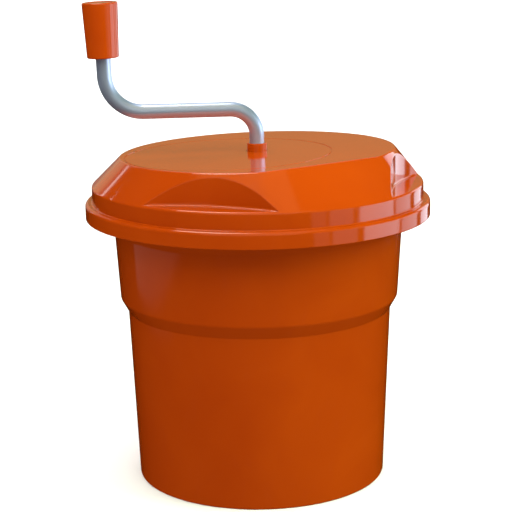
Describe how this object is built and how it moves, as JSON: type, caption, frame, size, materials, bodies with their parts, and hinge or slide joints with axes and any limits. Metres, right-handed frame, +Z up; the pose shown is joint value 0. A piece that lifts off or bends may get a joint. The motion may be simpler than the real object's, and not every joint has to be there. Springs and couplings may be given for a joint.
{
  "type": "salad spinner",
  "caption": "Hand-cranked salad spinner: stepped orange tub, slotted basket, stepped lid with finger recesses, geared bent crank and tapered turning grip.",
  "frame": {"origin": "centre of the tub's foot, on the surface that it stands on", "axes": "+Z up along the crank's and basket's axis, -Y the front of the lid with a finger recess, -X the side where the crank's arm lies at rest"},
  "size_m": [0.33, 0.33, 0.461],
  "materials": {
    "orange_plastic": "glossy moulded polypropylene",
    "white_plastic": "moulded natural polypropylene",
    "gear_plastic": "moulded acetal",
    "steel": "turned stainless steel",
    "bush": "sintered bronze",
    "anodised_aluminium": "satin anodised tube",
    "seal_rubber": "moulded rubber"
  },
  "bodies": {
    "tub": {"tub": "orange_plastic", "tub_pivot_pin": "steel", "pivot_washer": "steel"},
    "basket": {"basket": "white_plastic", "basket_bush": "bush"},
    "lid": {"lid": "orange_plastic", "lid_bush": "bush", "gear_housing": "white_plastic", "housing_gasket": "seal_rubber", "housing_screws": "steel", "output_bush": "bush", "output_washer": "steel", "layshaft_pin": "steel", "layshaft_washers": "steel"},
    "cluster": {"cluster_gear": "gear_plastic", "cluster_bush": "bush"},
    "crank": {"crank_hub": "orange_plastic", "crank_gear": "gear_plastic", "crank_gear_screws": "steel", "crank_tube": "anodised_aluminium", "crank_pin": "steel", "tube_plug": "steel", "grip_screw": "steel", "grip_washer": "steel"},
    "output": {"output_gear": "gear_plastic", "output_shaft": "steel", "shaft_clip": "steel", "drive_plate": "white_plastic", "drive_washer": "steel", "drive_screw": "steel"},
    "grip": {"grip": "orange_plastic", "grip_cap": "orange_plastic"}
  },
  "joints": [
    {"name": "lid_lift", "type": "slide", "parent": "tub", "child": "lid", "axis": [0, 0, 1], "range_m": [0, 0.2]},
    {"name": "crank_turn", "type": "hinge", "parent": "lid", "child": "crank", "pos_m": [0, 0, 0.31], "axis": [0, 0, 1], "continuous": true},
    {"name": "cluster_spin", "type": "hinge", "parent": "lid", "child": "cluster", "pos_m": [-0.07417, -0.03944, 0.294], "axis": [0, 0, 1], "continuous": true},
    {"name": "output_spin", "type": "hinge", "parent": "lid", "child": "output", "pos_m": [0, 0, 0.28], "axis": [0, 0, 1], "continuous": true},
    {"name": "basket_spin", "type": "hinge", "parent": "tub", "child": "basket", "pos_m": [0, 0, 0.03], "axis": [0, 0, 1], "continuous": true},
    {"name": "grip_spin", "type": "hinge", "parent": "crank", "child": "grip", "pos_m": [-0.14305, -0.01252, 0.42902], "axis": [-0.0296, -0.0026, 0.9996], "continuous": true}
  ],
  "couplings": [
    {"joint": "cluster_spin", "follows": "crank_turn", "ratio": -3.2},
    {"joint": "output_spin", "follows": "crank_turn", "ratio": 3.2},
    {"joint": "basket_spin", "follows": "crank_turn", "ratio": 3.2}
  ]
}
